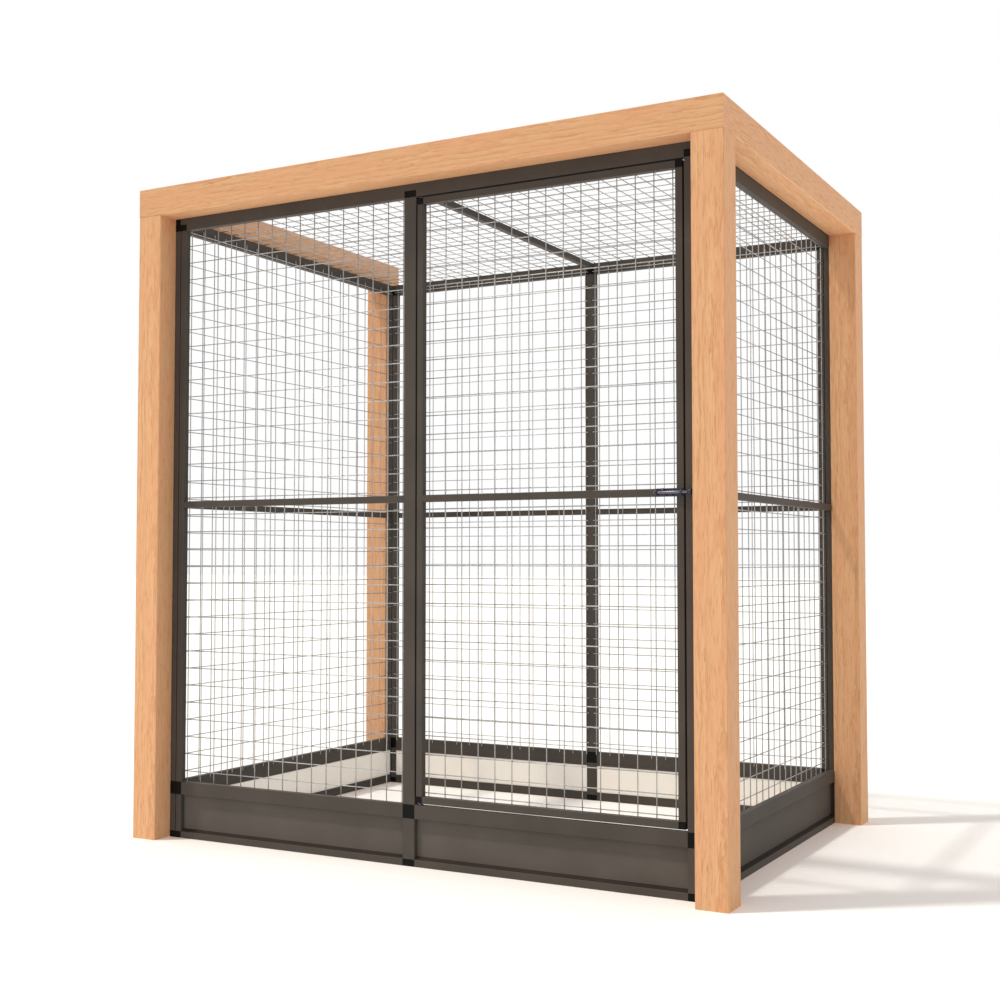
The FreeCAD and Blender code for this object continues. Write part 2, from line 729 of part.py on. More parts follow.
def make_pivots():
    """Flanged bushes in the cage, and the collared pins that turn in them with the door."""
    bushes = []
    pins = []
    ends = (("top", TOP_RAIL[0], DOOR_Z[1], 1), ("bottom", "dims.kick_top", DOOR_Z[0], -1))
    for name, seat, door_end, sign in ends:
        label = f"pivot_bush_{name}"
        body = ordered(seat, "dims.bush_length", sign)
        flange = ordered(seat, "dims.flange_height", -sign)
        bore = around(seat, "(dims.bush_length + dims.flange_height)")
        solid = fused(f"{label}_blank", [
            rod(f"{label}_body", "z", PIVOT_X, PIVOT_Y, body, "dims.bush_radius"),
            rod(f"{label}_flange", "z", PIVOT_X, PIVOT_Y, flange, "dims.flange_radius"),
        ])
        tool = rod(f"{label}_bore", "z", PIVOT_X, PIVOT_Y, bore, "dims.pivot_radius + dims.pivot_play")
        bushes.append(without(label, solid, [tool]))
        label = f"pivot_pin_{name}"
        grip = f"({DEEP} + dims.spigot_length)"
        outer = ordered(door_end, "dims.pivot_reach", sign)
        within = ordered(door_end, grip, -sign)
        room = "(dims.door_gap - dims.flange_height - dims.collar_play)"
        collar = ordered(door_end, room, sign)
        pins.append(fused(label, [
            rod(f"{label}_outer", "z", PIVOT_X, PIVOT_Y, outer, "dims.pivot_radius"),
            rod(f"{label}_inner", "z", PIVOT_X, PIVOT_Y, within, "dims.pivot_radius"),
            rod(f"{label}_collar", "z", PIVOT_X, PIVOT_Y, collar, "dims.collar_radius"),
        ]))
    node(group("pivot_bushes", bushes))
    node(group("door_pivot_pins", pins))


def ordered(start, reach, sign):
    """The span that goes up or down from a start by a reach."""
    return (start, f"{start} + {reach}") if sign > 0 else (f"{start} - {reach}", start)


def make_door():
    """A frame of square tube with corner blocks, a mid rail and its own mesh."""
    depth = FRONT_WALL
    between_x = (f"{DOOR_X[0]} + {DEEP}", f"{DOOR_X[1]} - {DEEP}")
    between_z = (f"{DOOR_Z[0]} + {DEEP}", f"{DOOR_Z[1]} - {DEEP}")
    hinge_side = (DOOR_X[0], between_x[0])
    latch_side = (between_x[1], DOOR_X[1])
    bottom = (DOOR_Z[0], between_z[0])
    top = (between_z[1], DOOR_Z[1])
    node(tube("door_hinge_stile", "z", hinge_side, depth, between_z))
    node(tube("door_latch_stile", "z", latch_side, depth, between_z))
    node(tube("door_top_rail", "x", between_x, depth, top))
    node(tube("door_bottom_rail", "x", between_x, depth, bottom))
    blank = tube("door_mid_rail_blank", "x", between_x, depth, MID_RAIL)
    node(without("door_mid_rail", blank, screw_holes("latch", LATCH_SCREWS)))
    reach = "dims.spigot_length"
    corners = []
    for end, rise, sign_z in (("bottom", bottom, 1), ("top", top, -1)):
        for side, span, sign_x in (("hinge", hinge_side, 1), ("latch", latch_side, -1)):
            label = f"door_corner_{end}_{side}"
            along_x = ordered(span[1] if sign_x > 0 else span[0], reach, sign_x)
            along_z = ordered(rise[1] if sign_z > 0 else rise[0], reach, sign_z)
            pieces = [
                box(f"{label}_cube", span, depth, rise),
                box(f"{label}_rail_spigot", along_x, inner(depth), inner(rise)),
                box(f"{label}_stile_spigot", inner(span), inner(depth), along_z),
            ]
            if side == "latch":
                corners.append(fused(label, pieces))
                continue
            grip = (rise[0], along_z[1]) if sign_z > 0 else (along_z[0], rise[1])
            hole = rod(f"{label}_hole", "z", PIVOT_X, PIVOT_Y, grip,
                       "dims.pivot_radius + dims.pivot_play")
            corners.append(without(label, fused(f"{label}_blank", pieces), [hole]))
    node(group("door_corner_blocks", corners))
    wide, high = lapped(between_x), lapped(between_z)
    behind = f"{FRONT_WALL[1]} + dims.wire_size"
    node(mesh_sheet("door_mesh", wide, high, (wide[0], behind, high[0]), FACING_FRONT))


# Places of the latch screws and keeper screws, each as X and Z
LATCH_SCREWS = [
    (f"{LATCH_END} - dims.latch_screw_inset - {step} * dims.latch_screw_spacing",
     f"{MID} {rise} dims.latch_screw_rise")
    for step in (0, 1)
    for rise in "-+"
]
KEEPER_SCREWS = [
    (f"{KEEPER_X[1]} - dims.keeper_screw_inset", f"{MID} {rise} dims.latch_screw_rise")
    for rise in "-+"
]


def screw_holes(label, places):
    """Holes through a plate and the tube wall behind it."""
    depth = (f"{LATCH_Y[0]} - {WALL}", f"-{FACE} + {WALL} + dims.screw_play")
    return [
        rod(f"{label}_wall_hole_{index}", "y", x, depth, z,
            "dims.latch_screw_radius + dims.screw_play")
        for index, (x, z) in enumerate(places)
    ]


def small_screws(label, places):
    head = (f"{LATCH_Y[0]} - dims.latch_head_height", LATCH_Y[0])
    shank = (LATCH_Y[0], f"-{FACE} + dims.latch_screw_bite")
    return group(label, [
        fused(f"{label}_{index}", [
            rod(f"{label}_{index}_head", "y", x, head, z, "dims.latch_head_radius"),
            rod(f"{label}_{index}_shank", "y", x, shank, z, "dims.latch_screw_radius"),
        ])
        for index, (x, z) in enumerate(places)
    ])


def latch_piece(label, plate_x, loops, half_height, opening, places):
    """A plate with loops standing on it, opened for the rod and drilled for its screws."""
    loop_y = (f"{ROD_Y} - {half_height}", LATCH_Y[0])
    loop_z = around(MID, half_height)
    pieces = [box(f"{label}_plate", plate_x, LATCH_Y, LATCH_Z)]
    pieces += [box(f"{label}_loop_{index}", span, loop_y, loop_z) for index, span in enumerate(loops)]
    depth = (f"{LATCH_Y[0]} - {WALL}", f"{LATCH_Y[1]} + {WALL}")
    holes = [
        rod(f"{label}_hole_{index}", "y", x, depth, z, "dims.latch_screw_radius + dims.screw_play")
        for index, (x, z) in enumerate(places)
    ]
    return without(label, fused(f"{label}_blank", pieces), [opening] + holes)


def make_latch():
    """The slide bolt in its two bored guides on the door."""
    guides = [
        (LATCH_X[0], f"{LATCH_X[0]} + dims.guide_width"),
        (f"{LATCH_X[1]} - dims.guide_width", LATCH_X[1]),
    ]
    bore = rod("latch_bore", "x", LATCH_X, ROD_Y, MID, "dims.rod_radius + dims.rod_play")
    half_height = "(dims.rod_radius + dims.guide_wall)"
    node(latch_piece("latch_plate", LATCH_X, guides, half_height, bore, LATCH_SCREWS))
    node(small_screws("latch_screws", LATCH_SCREWS))
    knob_x = f"{ROD_END} - dims.knob_back"
    stem_z = (MID, f"{MID} + dims.knob_height")
    knob = doc.addObject("Part::Sphere", "latch_knob")
    knob.setExpression("Radius", "dims.knob_radius")
    place(knob, knob_x, ROD_Y, stem_z[1])
    node(fused("latch_bolt", [
        rod("latch_rod", "x", (f"{ROD_END} - dims.rod_length", ROD_END), ROD_Y, MID, "dims.rod_radius"),
        rod("latch_stem", "z", knob_x, ROD_Y, stem_z, "dims.knob_stem_radius"),
        knob,
    ]))


def make_keeper():
    """A plate with a square staple on the upright, which the bolt is pushed through."""
    start = f"{ROD_END} + dims.keeper_gap"
    staple = (start, f"{start} + dims.keeper_loop")
    room = "(dims.rod_radius + dims.keeper_play)"
    opening = box("keeper_opening", staple, (f"{ROD_Y} - {room}", LATCH_Y[0]), around(MID, room))
    half_height = f"({room} + dims.guide_wall)"
    node(latch_piece("latch_keeper", KEEPER_X, [staple], half_height, opening, KEEPER_SCREWS))
    node(small_screws("keeper_screws", KEEPER_SCREWS))


def check_and_write():
    """Stop on any failed object or shape, then write one file for each node."""
    doc.recompute()
    failed = [item.Label for item in doc.Objects if {"Invalid", "Error"} & set(item.State)]
    failed += [item.Label for item in nodes if item.Shape.isNull() or not item.Shape.isValid()]
    if failed:
        raise RuntimeError("failed: " + ", ".join(failed))
    os.makedirs("parts", exist_ok=True)
    for item in nodes:
        item.Shape.exportStep(f"parts/{item.Label}.step")
    print(len(nodes), "nodes,", sum(len(item.Shape.Solids) for item in nodes), "solids")


make_posts()
make_beams()
make_timber_screws()
make_uprights()
make_top_rails()
make_wall_rails()
make_kick_boards()
make_connectors()
make_cage_mesh()
make_door()
make_pivots()
make_latch()
make_keeper()
check_and_write()
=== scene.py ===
import json
import math

import bpy
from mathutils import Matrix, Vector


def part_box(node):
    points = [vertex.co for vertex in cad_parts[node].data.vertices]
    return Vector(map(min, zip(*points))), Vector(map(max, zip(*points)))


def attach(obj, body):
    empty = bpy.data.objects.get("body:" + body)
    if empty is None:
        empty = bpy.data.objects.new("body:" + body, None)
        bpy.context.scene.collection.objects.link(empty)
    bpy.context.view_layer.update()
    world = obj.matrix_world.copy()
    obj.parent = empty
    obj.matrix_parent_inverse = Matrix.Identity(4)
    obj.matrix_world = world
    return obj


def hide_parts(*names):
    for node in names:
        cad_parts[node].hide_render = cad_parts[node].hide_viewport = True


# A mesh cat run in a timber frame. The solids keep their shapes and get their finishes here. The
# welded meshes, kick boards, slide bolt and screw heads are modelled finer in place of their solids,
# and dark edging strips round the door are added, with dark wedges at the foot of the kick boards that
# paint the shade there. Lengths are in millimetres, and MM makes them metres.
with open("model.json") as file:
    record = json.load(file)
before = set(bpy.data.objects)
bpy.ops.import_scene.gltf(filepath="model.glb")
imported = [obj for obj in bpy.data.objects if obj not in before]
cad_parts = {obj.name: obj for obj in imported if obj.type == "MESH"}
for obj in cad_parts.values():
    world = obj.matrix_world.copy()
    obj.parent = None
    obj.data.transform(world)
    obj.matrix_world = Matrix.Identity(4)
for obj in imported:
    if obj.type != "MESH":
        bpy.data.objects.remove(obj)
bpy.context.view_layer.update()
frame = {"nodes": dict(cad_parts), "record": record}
NODES = frame["nodes"]
MM = 0.001

# Turns that lay the Z axis of a pattern or a bar along each axis of the run
TURNS = {"x": (0, math.pi / 2, 0), "y": (-math.pi / 2, 0, 0), "z": (0, 0, 0)}
# Points this near to a plane, in metres, lie on it, and edges this near to an axis run along it
ON_PLANE = 1e-6
ALONG_AXIS = 1e-7


# ---- Finishes ----

# Sockets of a colour Mix node: how much of the upper colour shows, the two colours and the result
SHARE, UNDER, OVER, MIXED = 0, 6, 7, 2


def linear(hex_colour):
    """An sRGB hex colour as linear red, green, blue and alpha."""
    parts = [int(hex_colour[i:i + 2], 16) / 255 for i in (1, 3, 5)]
    return [c / 12.92 if c <= 0.04045 else ((c + 0.055) / 1.055) ** 2.4 for c in parts] + [1.0]


def add_node(tree, kind, settings, links):
    """Add a node, set its properties and sockets, and link its inputs to other outputs."""
    node = tree.nodes.new(kind)
    for key, value in settings.items():
        if key == "ramp":
            stops = node.color_ramp.elements
            while len(stops) < len(value):
                stops.new(0.5)
            for stop, (position, colour) in zip(stops, value):
                stop.position = position
                stop.color = linear(colour)
        elif isinstance(key, int) or key in node.inputs:
            node.inputs[key].default_value = value
        else:
            setattr(node, key, value)
    for key, output in links.items():
        tree.links.new(output, node.inputs[key])
    return node


def new_material(name, settings):
    """A material with its shader's constant sockets set, its node tree and its Object coordinates."""
    material = bpy.data.materials.new(name)
    material.use_nodes = True
    tree = material.node_tree
    shader = tree.nodes["Principled BSDF"]
    for key, value in settings.items():
        shader.inputs[key].default_value = value
    place = add_node(tree, "ShaderNodeTexCoord", {}, {}).outputs["Object"]
    return material, tree, shader, place


# Planed larch, oiled: warm tan that drifts between yellow and pink, with short fine reddish-brown
# fibres all over, faint wavy growth lines and a few pin knots; satin, just felt by the hand.
# Each pattern reaches this far across, across and along the grain; the growth rings take their width
# from their own scale and are only drawn out along the grain
RING_WIDTH = 6 * MM
LARCH_REACH = {
    "rings": (1, 1, 6),
    "patches": (45 * MM, 45 * MM, 220 * MM),
    "sway": (30 * MM, 30 * MM, 140 * MM),
    "fibres": (3 * MM, 3 * MM, 60 * MM),
    "knots": (30 * MM, 30 * MM, 150 * MM),
}
# The fibres sway sideways by up to this many of their widths
FIBRE_SWAY = (5, 5, 0)
FELT_HEIGHT = 0.3 * MM
# From one growth line to the next: where early wood, a little later, late, its dark edge and the next
# ring begin
RING_STOPS = (0.0, 0.55, 0.85, 0.95, 1.0)
# Tones of a stick: those of the ring, plain patches and fibres, and how far the fibres show; the front
# beam is a quieter and slightly darker stick
STICK = ("#E6B587", "#E3B183", "#DCA677", "#CF986B", "#E4B284", "#E4AC7F", "#C9865D", 0.7)
QUIET_STICK = ("#E0B083", "#DDAC7F", "#D6A174", "#C99468", "#DEAD80", "#DEA77B", "#C4825A", 0.5)
KNOT = "#B5714A"
# The heart of the tree runs beside each stick, this far from its middle
HEART_AWAY = (35, 110, 60)


def planed_larch(name, grain, heart, tones):
    """Larch cut so that the heart of the tree runs along the grain axis through the heart point."""
    *ring_tones, plain, fibre, figure = tones
    material, tree, shader, place = new_material(name, {"Specular IOR Level": 0.2})
    spaces = {}
    for pattern, size in LARCH_REACH.items():
        spaces[pattern] = add_node(tree, "ShaderNodeMapping", {
            "vector_type": "TEXTURE", "Location": heart, "Rotation": TURNS[grain], "Scale": size,
        }, {"Vector": place}).outputs[0]
    rings = add_node(tree, "ShaderNodeTexWave", {
        "wave_type": "RINGS", "rings_direction": "Z", "wave_profile": "SAW",
        "Scale": 2 * math.pi / (20 * RING_WIDTH), "Distortion": 6.0, "Detail": 3.0,
        "Detail Scale": 0.7, "Detail Roughness": 0.6,
    }, {"Vector": spaces["rings"]})
    ring_tone = add_node(tree, "ShaderNodeValToRGB", {
        "ramp": list(zip(RING_STOPS, ring_tones)),
    }, {0: rings.outputs["Fac"]})
    patches = add_node(tree, "ShaderNodeTexNoise", {
        "Scale": 1.0, "Detail": 2.0, "Roughness": 0.5,
    }, {"Vector": spaces["patches"]})
    sway = add_node(tree, "ShaderNodeTexNoise", {"Scale": 1.0, "Detail": 2.0}, {"Vector": spaces["sway"]})
    swayed = add_node(tree, "ShaderNodeVectorMath", {
        "operation": "MULTIPLY_ADD", 1: FIBRE_SWAY,
    }, {0: sway.outputs["Color"], 2: spaces["fibres"]})
    fibres = add_node(tree, "ShaderNodeTexNoise", {
        "Scale": 1.0, "Detail": 2.0, "Roughness": 0.6,
    }, {"Vector": swayed.outputs[0]})
    knots = add_node(tree, "ShaderNodeTexVoronoi", {
        "feature": "F1", "Scale": 1.0, "Randomness": 1.0,
    }, {"Vector": spaces["knots"]})

    # Plain patches, then fibres, then knots over the tone of the rings
    colour = ring_tone.outputs["Color"]
    for pattern, start, end, at_start, at_end, tone in (
        (patches.outputs["Fac"], 0.4, 0.62, 0.0, 0.8, plain),
        (fibres.outputs["Fac"], 0.5, 0.7, 0.0, figure, fibre),
        (knots.outputs["Distance"], 0.02, 0.08, 0.55, 0.0, KNOT),
    ):
        share = add_node(tree, "ShaderNodeMapRange", {
            "From Min": start, "From Max": end, "To Min": at_start, "To Max": at_end,
        }, {"Value": pattern})
        colour = add_node(tree, "ShaderNodeMix", {
            "data_type": "RGBA", "blend_type": "MIX", OVER: linear(tone),
        }, {SHARE: share.outputs[0], UNDER: colour}).outputs[MIXED]
    tree.links.new(colour, shader.inputs["Base Color"])
    satin = add_node(tree, "ShaderNodeMapRange", {
        "From Min": 0.3, "From Max": 0.8, "To Min": 0.48, "To Max": 0.68,
    }, {"Value": fibres.outputs["Fac"]})
    tree.links.new(satin.outputs[0], shader.inputs["Roughness"])
    felt = add_node(tree, "ShaderNodeBump", {
        "Strength": 0.25, "Distance": FELT_HEIGHT,
    }, {"Height": fibres.outputs["Fac"]})
    tree.links.new(felt.outputs[0], shader.inputs["Normal"])
    return material


# Kinds of fine skin, and the slow drift of tone over it; a Mapping node gives each its size
GRIT = ("ShaderNodeTexNoise", {"Scale": 1.0, "Detail": 2.0})
CRYSTALS = ("ShaderNodeTexVoronoi", {"Scale": 1.0})
DRIFT = ("ShaderNodeTexNoise", {"Scale": 1.0, "Detail": 3.0})
DRIFT_SIZE = 160 * MM
SKIN_HEIGHT = 0.2 * MM
# The gloss wanders by this much roughness to each side
GLOSS_SPREAD = 0.06


def fine_coat(name, colour, other, grain, roughness, settings, depth=0.08, skin_kind=GRIT):
    """A sprayed, plated or moulded skin: two close tones, and a fine grain in gloss and surface."""
    material, tree, shader, place = new_material(name, settings)
    patterns = []
    for (kind, look), size in ((skin_kind, grain), (DRIFT, DRIFT_SIZE)):
        sized = add_node(tree, "ShaderNodeMapping", {
            "vector_type": "TEXTURE", "Scale": (size,) * 3,
        }, {"Vector": place})
        patterns.append(add_node(tree, kind, look, {"Vector": sized.outputs[0]}).outputs[0])
    skin, drift = patterns
    blend = add_node(tree, "ShaderNodeMath", {"operation": "MULTIPLY_ADD", 1: 0.5}, {0: skin, 2: drift})
    tone = add_node(tree, "ShaderNodeValToRGB", {
        "ramp": [(0.45, colour), (1.0, other)],
    }, {0: blend.outputs[0]})
    tree.links.new(tone.outputs["Color"], shader.inputs["Base Color"])
    gloss = add_node(tree, "ShaderNodeMapRange", {
        "From Min": 0.3, "From Max": 0.7,
        "To Min": roughness - GLOSS_SPREAD, "To Max": roughness + GLOSS_SPREAD,
    }, {"Value": skin})
    tree.links.new(gloss.outputs[0], shader.inputs["Roughness"])
    bump = add_node(tree, "ShaderNodeBump", {
        "Strength": depth, "Distance": SKIN_HEIGHT,
    }, {"Height": skin})
    tree.links.new(bump.outputs[0], shader.inputs["Normal"])
    return material


# Powder coated aluminium: warm dark grey-brown, even and satin, with the faint orange peel of the
# baked powder; the peel is drawn at 2 mm, coarser than it is, so that it shows
COATED_TUBE = fine_coat("powder_coated_aluminium", "#4A443F", "#544E48", grain=2 * MM, roughness=0.5,
                        settings={"Specular IOR Level": 0.08})
# Coated sheet aluminium of the kick boards: the same powder, a little lighter and smoother outside
COATED_SHEET = fine_coat("coated_sheet_aluminium", "#59534D", "#645D57", grain=3 * MM, roughness=0.55,
                         settings={"Specular IOR Level": 0.04})
# Cream lacquer of the kick boards' inner faces: pale, warm and matt
CREAM_LACQUER = fine_coat("cream_lacquered_sheet", "#FDF3E6", "#FFFAF1", grain=3 * MM, roughness=0.55,
                          settings={})
# Moulded nylon: near black, with the dull spark-eroded grain of its mould
MOULDED_NYLON = fine_coat("moulded_black_nylon", "#050505", "#0C0B0B", grain=1.2 * MM, roughness=0.6,
                          settings={"Specular IOR Level": 0.12}, depth=0.2)
# Hot galvanised wire: light grey zinc in small crystals, weathered dull
ZINC_WIRE = fine_coat("galvanised_wire", "#929190", "#B7B6B5", grain=6 * MM, roughness=0.4,
                      settings={"Metallic": 0.5}, depth=0.1, skin_kind=CRYSTALS)
# Blackened steel of the bolt's plate and keeper: blue-black oxide with a soft shine
BLACK_STEEL = fine_coat("blackened_steel", "#23222B", "#302F39", grain=1.5 * MM, roughness=0.4,
                        settings={"Metallic": 0.3})
# Gunmetal plating on the bolt and the pins: violet grey, bright along the top of the round
GUNMETAL = fine_coat("gunmetal_plated_steel", "#5B5668", "#6D6879", grain=1.5 * MM, roughness=0.28,
                     settings={"Metallic": 0.6})
# Dark finish of the door's edging strips and of the wedges at the kick boards' foot, where it is painted
# shade: brown-black and dull, with a fine grain
DARK_STRIP_AND_SHADE_FINISH = fine_coat("dark_strips_and_painted_shade", "#2B2420", "#352D28", grain=1.5 * MM, roughness=0.75,
                         settings={"Specular IOR Level": 0.1}, depth=0.2)
# Screws coated to match the tube: dark grey-brown, dull
COATED_SCREW = fine_coat("coated_screw_steel", "#3F3833", "#4A433D", grain=1.0 * MM, roughness=0.5,
                         settings={"Specular IOR Level": 0.3})

SLOT_FINISH = {
    "tube": COATED_TUBE,
    "board": COATED_SHEET,
    "moulding": MOULDED_NYLON,
    "mesh": ZINC_WIRE,
    "latch": BLACK_STEEL,
    "steel": GUNMETAL,
    "screw": COATED_SCREW,
    "bush": MOULDED_NYLON,
}
GRAIN_AXIS = {"post": "z", "beam_front": "x", "beam_left": "y", "beam_right": "y"}


def paint_solids():
    """Give every solid its finish; each timber is its own cut of the tree."""
    for entry in frame["record"]["subparts"]:
        name, slot = entry["node"], entry["material_slot"]
        if slot == "timber":
            grain = GRAIN_AXIS["post" if name.startswith("post") else name]
            low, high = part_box(name)
            heart = [(a + b) / 2 + away * MM for a, b, away in zip(low, high, HEART_AWAY)]
            tones = QUIET_STICK if name == "beam_front" else STICK
            finish = planed_larch(f"planed_larch_{name}", grain, heart, tones)
        else:
            finish = SLOT_FINISH[slot]
        materials = NODES[name].data.materials
        materials.clear()
        materials.append(finish)


# ---- Ways of making a piece ----

def reach(node, axis):
    """The low and high end of a solid along one axis, in millimetres."""
    low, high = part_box(node)
    index = "xyz".index(axis)
    return low[index] / MM, high[index] / MM


def select_only(*pieces):
    """Select these pieces and nothing else, the first of them active."""
    bpy.ops.object.select_all(action="DESELECT")
    for piece in pieces:
        piece.select_set(True)
    bpy.context.view_layer.objects.active = pieces[0]


def settle(piece):
    """Put a piece's place, turn and scale into its mesh."""
    select_only(piece)
    bpy.ops.object.transform_apply(location=True, rotation=True, scale=True)
    return piece


def finish_with(piece, kind, **settings):
    """Add a modifier and apply it."""
    select_only(piece)
    modifier = piece.modifiers.new(kind.lower(), kind)
    for key, value in settings.items():
        setattr(modifier, key, value)
    bpy.ops.object.modifier_apply(modifier=modifier.name)
    return piece


def joined(name, pieces):
    """Make several pieces one, and name it."""
    select_only(*pieces)
    if len(pieces) > 1:
        bpy.ops.object.join()
    piece = bpy.context.view_layer.objects.active
    piece.name = name
    piece.data.name = name
    return piece


def edit_edges(piece, wanted, work):
    """Select the edges whose two ends pass a test, and run an edit-mode operator on them."""
    select_only(piece)
    mesh = piece.data
    bpy.ops.object.mode_set(mode="EDIT")
    bpy.ops.mesh.select_mode(type="EDGE")
    bpy.ops.mesh.select_all(action="DESELECT")
    bpy.ops.object.mode_set(mode="OBJECT")
    for edge in mesh.edges:
        edge.select = wanted(*(mesh.vertices[i].co for i in edge.vertices))
    bpy.ops.object.mode_set(mode="EDIT")
    work()
    bpy.ops.object.mode_set(mode="OBJECT")


def block(low, high, round_by=0.0):
    """A block between two corners, with all its edges rounded where a radius is given."""
    bpy.ops.object.select_all(action="DESELECT")
    centre = [(a + b) / 2 * MM for a, b in zip(low, high)]
    bpy.ops.mesh.primitive_cube_add(size=1, location=centre)
    piece = bpy.context.active_object
    piece.scale = [(b - a) * MM for a, b in zip(low, high)]
    settle(piece)
    if round_by:
        bpy.ops.object.mode_set(mode="EDIT")
        bpy.ops.mesh.select_all(action="SELECT")
        bpy.ops.mesh.bevel(offset=round_by * MM, segments=2, affect="EDGES")
        bpy.ops.object.mode_set(mode="OBJECT")
    return piece


def bar(axis, centre, length, radius, sides=24, round_by=0.4):
    """A round bar along one axis, with its end rims rounded; a bar of few sides has plain bevels."""
    bpy.ops.object.select_all(action="DESELECT")
    bpy.ops.mesh.primitive_cylinder_add(vertices=sides, radius=radius * MM, depth=length * MM)
    piece = bpy.context.active_object
    half = length * MM / 2

    def on_rim(a, b):
        return abs(abs(a.z) - half) < ON_PLANE and abs(a.z - b.z) < ON_PLANE

    edit_edges(piece, on_rim, lambda: bpy.ops.mesh.bevel(
        offset=round_by * MM, segments=1 if sides < 12 else 2, affect="EDGES"))
    piece.rotation_euler = TURNS[axis]
    piece.location = [c * MM for c in centre]
    settle(piece)
    bpy.ops.object.shade_smooth_by_angle(angle=math.radians(50))
    return piece


def cut_out(piece, cutter):
    """Take one piece out of another."""
    finish_with(piece, "BOOLEAN", operation="DIFFERENCE", solver="EXACT", object=cutter)
    bpy.data.objects.remove(cutter)
    return piece


def rounded_edges(piece, along, round_by, segments, plane=None):
    """Round the edges that run along one axis; where a plane is named, only those that lie on it."""
    index = "xyz".index(along)

    def runs_along(a, b):
        length = (a - b).length
        on_plane = plane is None or abs(a["xyz".index(plane[0])] - plane[1] * MM) < ON_PLANE
        return abs(abs(a[index] - b[index]) - length) < ALONG_AXIS and length > 0 and on_plane

    edit_edges(piece, runs_along, lambda: bpy.ops.mesh.bevel(
        offset=round_by * MM, segments=segments, affect="EDGES"))
    return piece


def softened(piece, round_by):
    """A last small bevel on the sharp edges, smooth where faces nearly agree."""
    finish_with(piece, "BEVEL", width=round_by * MM, segments=2, limit_method="ANGLE",
                angle_limit=math.radians(40))
    select_only(piece)
    bpy.ops.object.shade_smooth_by_angle(angle=math.radians(35))
    return piece


def copies(piece, places, turns):
    """Copies of a piece, each turned about the origin and then put in its place."""
    made = []
    for place, turn in zip(places, turns):
        select_only(piece)
        bpy.ops.object.duplicate()
        copy = bpy.context.active_object
        copy.rotation_euler = turn
        copy.location = [c * MM for c in place]
        made.append(settle(copy))
    bpy.data.objects.remove(piece)
    return made


# Cross recess of a screw head and the shank below it, as shares of the head's radius and height; the
# stub of shank laps into the head
RECESS_LENGTH = 1.1
RECESS_WIDTH = 0.22
RECESS_FLOOR = 0.45
SHANK_SHARE = 0.5
SHANK_LAP = 0.1


def screw_head(radius, height, stub, round_by):
    """A head on the Z axis with a cross recess, its seat at zero and a stub of shank below."""
    head = bar("z", (0, 0, height / 2), height, radius, round_by=round_by)
    shank = bar("z", (0, 0, SHANK_LAP - stub / 2), stub, SHANK_SHARE * radius, round_by=0.1)
    far, wide = RECESS_LENGTH * radius / 2, RECESS_WIDTH * radius / 2
    for x, y in ((far, wide), (wide, far)):
        cut_out(head, block((-x, -y, RECESS_FLOOR * height), (x, y, 2 * height)))
    return joined("screw", [head, shank])


def dress(piece, body, slot, finish, *nodes):
    """Give a new piece its finish, the body that carries it and the solids that it stands for."""
    if not piece.data.materials:
        piece.data.materials.append(finish)
    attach(piece, body)
    if nodes:
        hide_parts(*nodes)


# ---- Welded mesh ----

# Round wires at the run's own step, where the solids have every second wire; the level wires are
# pressed a little into the inner side of the upright ones
WIRE_RADIUS = 1.5
WIRE_SIDES = 8
WIRE_STEP = 54.1
WELD_DEPTH = 2.7
# A sheet laps over the tubes round it, or ends this far short of what it meets
LAP = 10
SHORT = 1


def lapped(low, high):
    """The two ends of a clear width, each carried on over its tube."""
    return low - LAP, high + LAP


def wire_row(axis, first, length, along, step, count):
    """Parallel wires, modelled once and repeated at an even step along another axis."""
    wire = bar(axis, first, length, WIRE_RADIUS, WIRE_SIDES, round_by=0.5)
    offset = [step * MM if name == along else 0 for name in "xyz"]
    return finish_with(wire, "ARRAY", count=count, use_relative_offset=False, use_constant_offset=True,
                       constant_offset_displace=offset)


def wall_mesh(node, body, across, face, inward, ends, rise, *, first, step, count, lowest, rows):
    """An upright sheet on the inner face of its tubes: upright wires against the face, from the first
    one at an even step, and rows of level wires, from the lowest up, welded on their inner side."""
    outer = face + inward * WIRE_RADIUS
    inner = outer + inward * WELD_DEPTH
    middle, centre = sum(rise) / 2, sum(ends) / 2
    if across == "x":
        upright_at, level_at = (first, outer, middle), (centre, inner, lowest)
    else:
        upright_at, level_at = (outer, first, middle), (inner, centre, lowest)
    wires = [
        wire_row("z", upright_at, rise[1] - rise[0], across, step, count),
        wire_row(across, level_at, ends[1] - ends[0], "z", WIRE_STEP, rows),
    ]
    dress(joined(f"welded_{node}", wires), body, "mesh", ZINC_WIRE, node)


